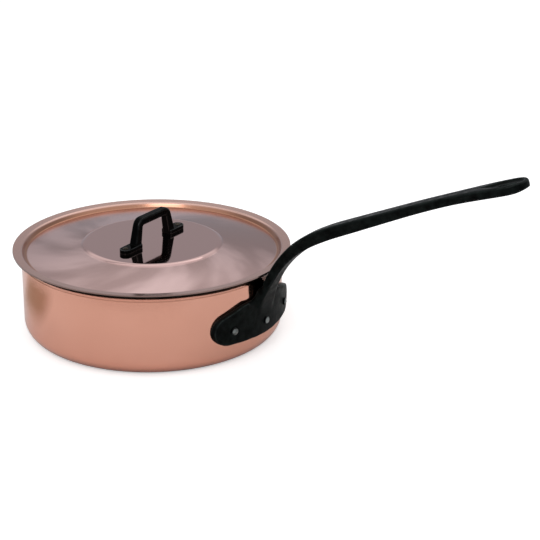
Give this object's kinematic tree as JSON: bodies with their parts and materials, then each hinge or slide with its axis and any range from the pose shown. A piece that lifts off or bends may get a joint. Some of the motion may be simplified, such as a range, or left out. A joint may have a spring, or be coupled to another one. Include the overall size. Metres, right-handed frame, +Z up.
{
  "type": "saute pan with lid",
  "caption": "Wide shallow copper pan, lined with steel, with a long riveted iron handle and a lift-off domed lid.",
  "frame": {"origin": "centre of the pan's flat base, on the surface it rests on", "axes": "+Z up along the pan's axis, +X from the pan's axis along its long handle, +Y across the handle"},
  "size_m": [0.4988, 0.2604, 0.209],
  "materials": {
    "polished_copper": "mirror-polished copper",
    "satin_copper": "satin copper, polished in circles",
    "lining_steel": "brushed in circles",
    "cast_iron": "sand-cast, dark and slightly glossy",
    "rivet_steel": "dull grey steel"
  },
  "bodies": {
    "pan": {"pan_shell": "polished_copper", "pan_lining": "lining_steel", "handle": "cast_iron", "handle_rivets": "rivet_steel"},
    "lid": {"lid_shell": "satin_copper", "lid_lining": "lining_steel", "lid_handle": "cast_iron", "lid_rivets": "rivet_steel"}
  },
  "joints": [
    {"name": "lid_lift", "type": "slide", "parent": "pan", "child": "lid", "axis": [0, 0, 1], "range_m": [0, 0.15]}
  ]
}
